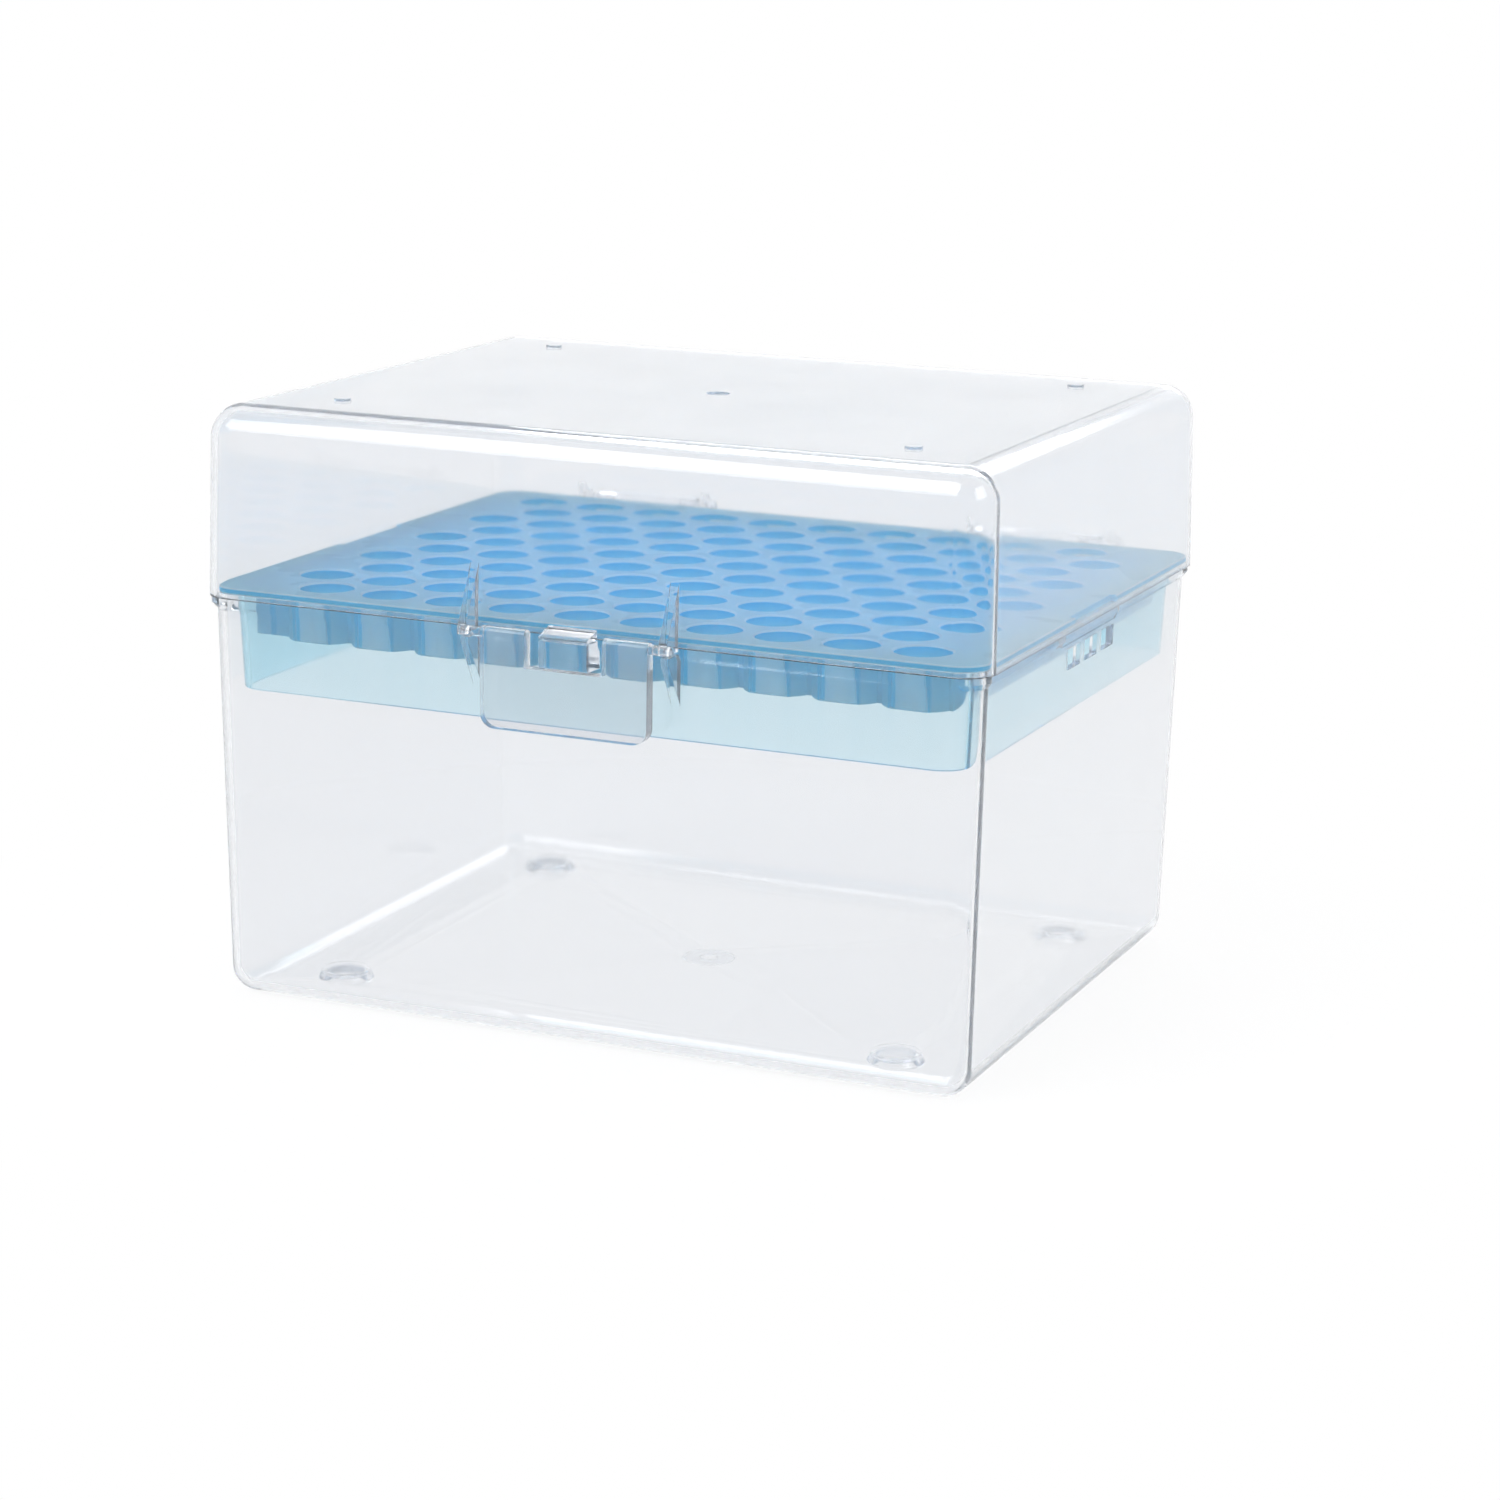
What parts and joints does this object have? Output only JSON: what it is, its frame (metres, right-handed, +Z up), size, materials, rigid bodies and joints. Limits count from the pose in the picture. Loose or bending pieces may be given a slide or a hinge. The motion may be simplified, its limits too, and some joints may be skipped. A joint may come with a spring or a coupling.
{
  "type": "pipette tip box",
  "caption": "Clear box with a hinged lid and a front latch flap, holding a lift-out blue rack of close-packed round wells for large pipette tips.",
  "frame": {"origin": "middle of the underside, on the plane the box stands on", "axes": "+X to the right as seen from the latch side, +Y from the latch to the hinge, +Z up"},
  "size_m": [0.13, 0.1122, 0.095],
  "materials": {
    "clear_plastic": "clear polypropylene, gloss",
    "blue_plastic": "pale blue polypropylene, satin gloss"
  },
  "bodies": {
    "base": {"base": "clear_plastic", "rack": "blue_plastic"},
    "lid": {"lid": "clear_plastic"},
    "latch": {"latch": "clear_plastic"}
  },
  "joints": [
    {"name": "lid_hinge", "type": "hinge", "parent": "base", "child": "lid", "pos_m": [0, 0.0544, 0.0656], "axis": [-1, 0, 0], "range_deg": [0, 110]},
    {"name": "latch_hinge", "type": "hinge", "parent": "lid", "child": "latch", "pos_m": [0, -0.0543, 0.0645], "axis": [-1, 0, 0], "range_deg": [0, 180]}
  ]
}
